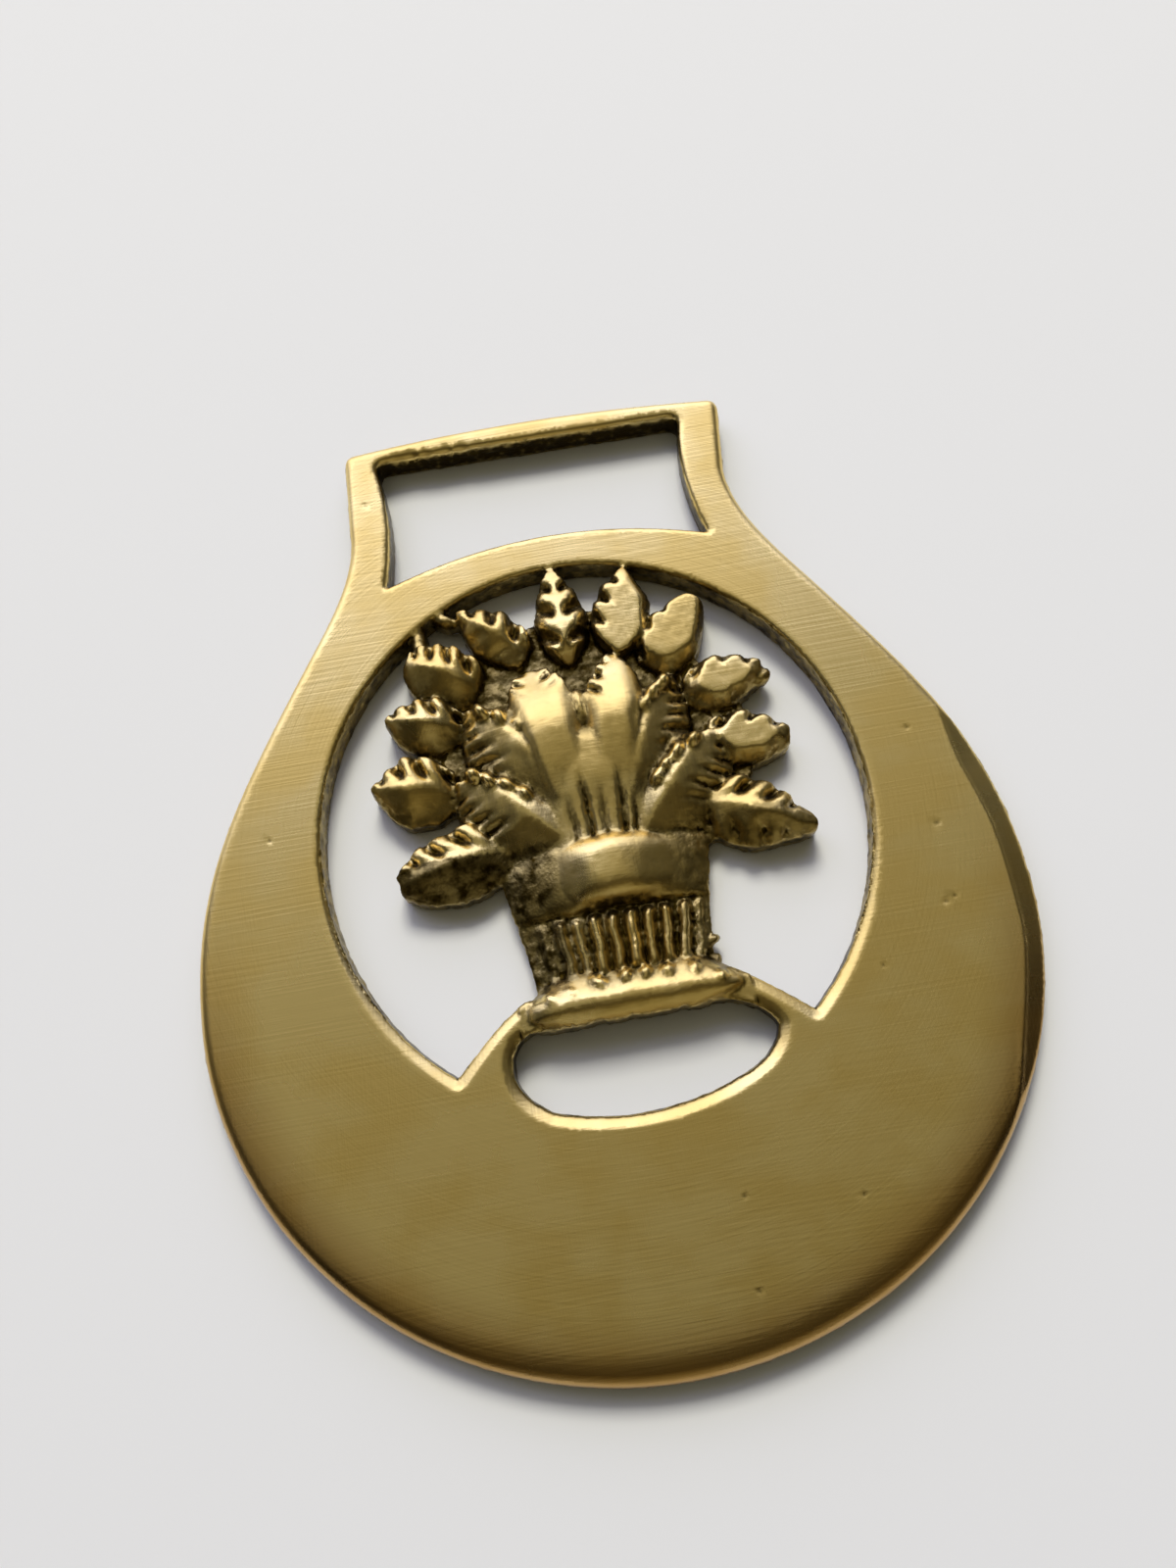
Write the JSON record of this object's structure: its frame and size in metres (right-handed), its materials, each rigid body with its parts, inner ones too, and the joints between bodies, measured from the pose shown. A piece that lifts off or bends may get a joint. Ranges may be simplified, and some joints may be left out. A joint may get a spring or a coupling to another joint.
{
  "type": "horse brass",
  "caption": "Cast brass harness ornament: a crescent plate with a slotted hanger for a strap and a tied wheatsheaf standing in its round opening.",
  "frame": {"origin": "centre of the bounding box in plan, on the flat back that the brass lies on", "axes": "+Y towards the strap hanger, +X to the right seen from the front, +Z out of the decorated front"},
  "size_m": [0.075, 0.0902, 0.006],
  "materials": {
    "brass": "worn polish on the plate and high spots, brown patina in the recesses and along the lower edge"
  },
  "bodies": {
    "root": {"horse_brass": "brass"}
  },
  "joints": []
}
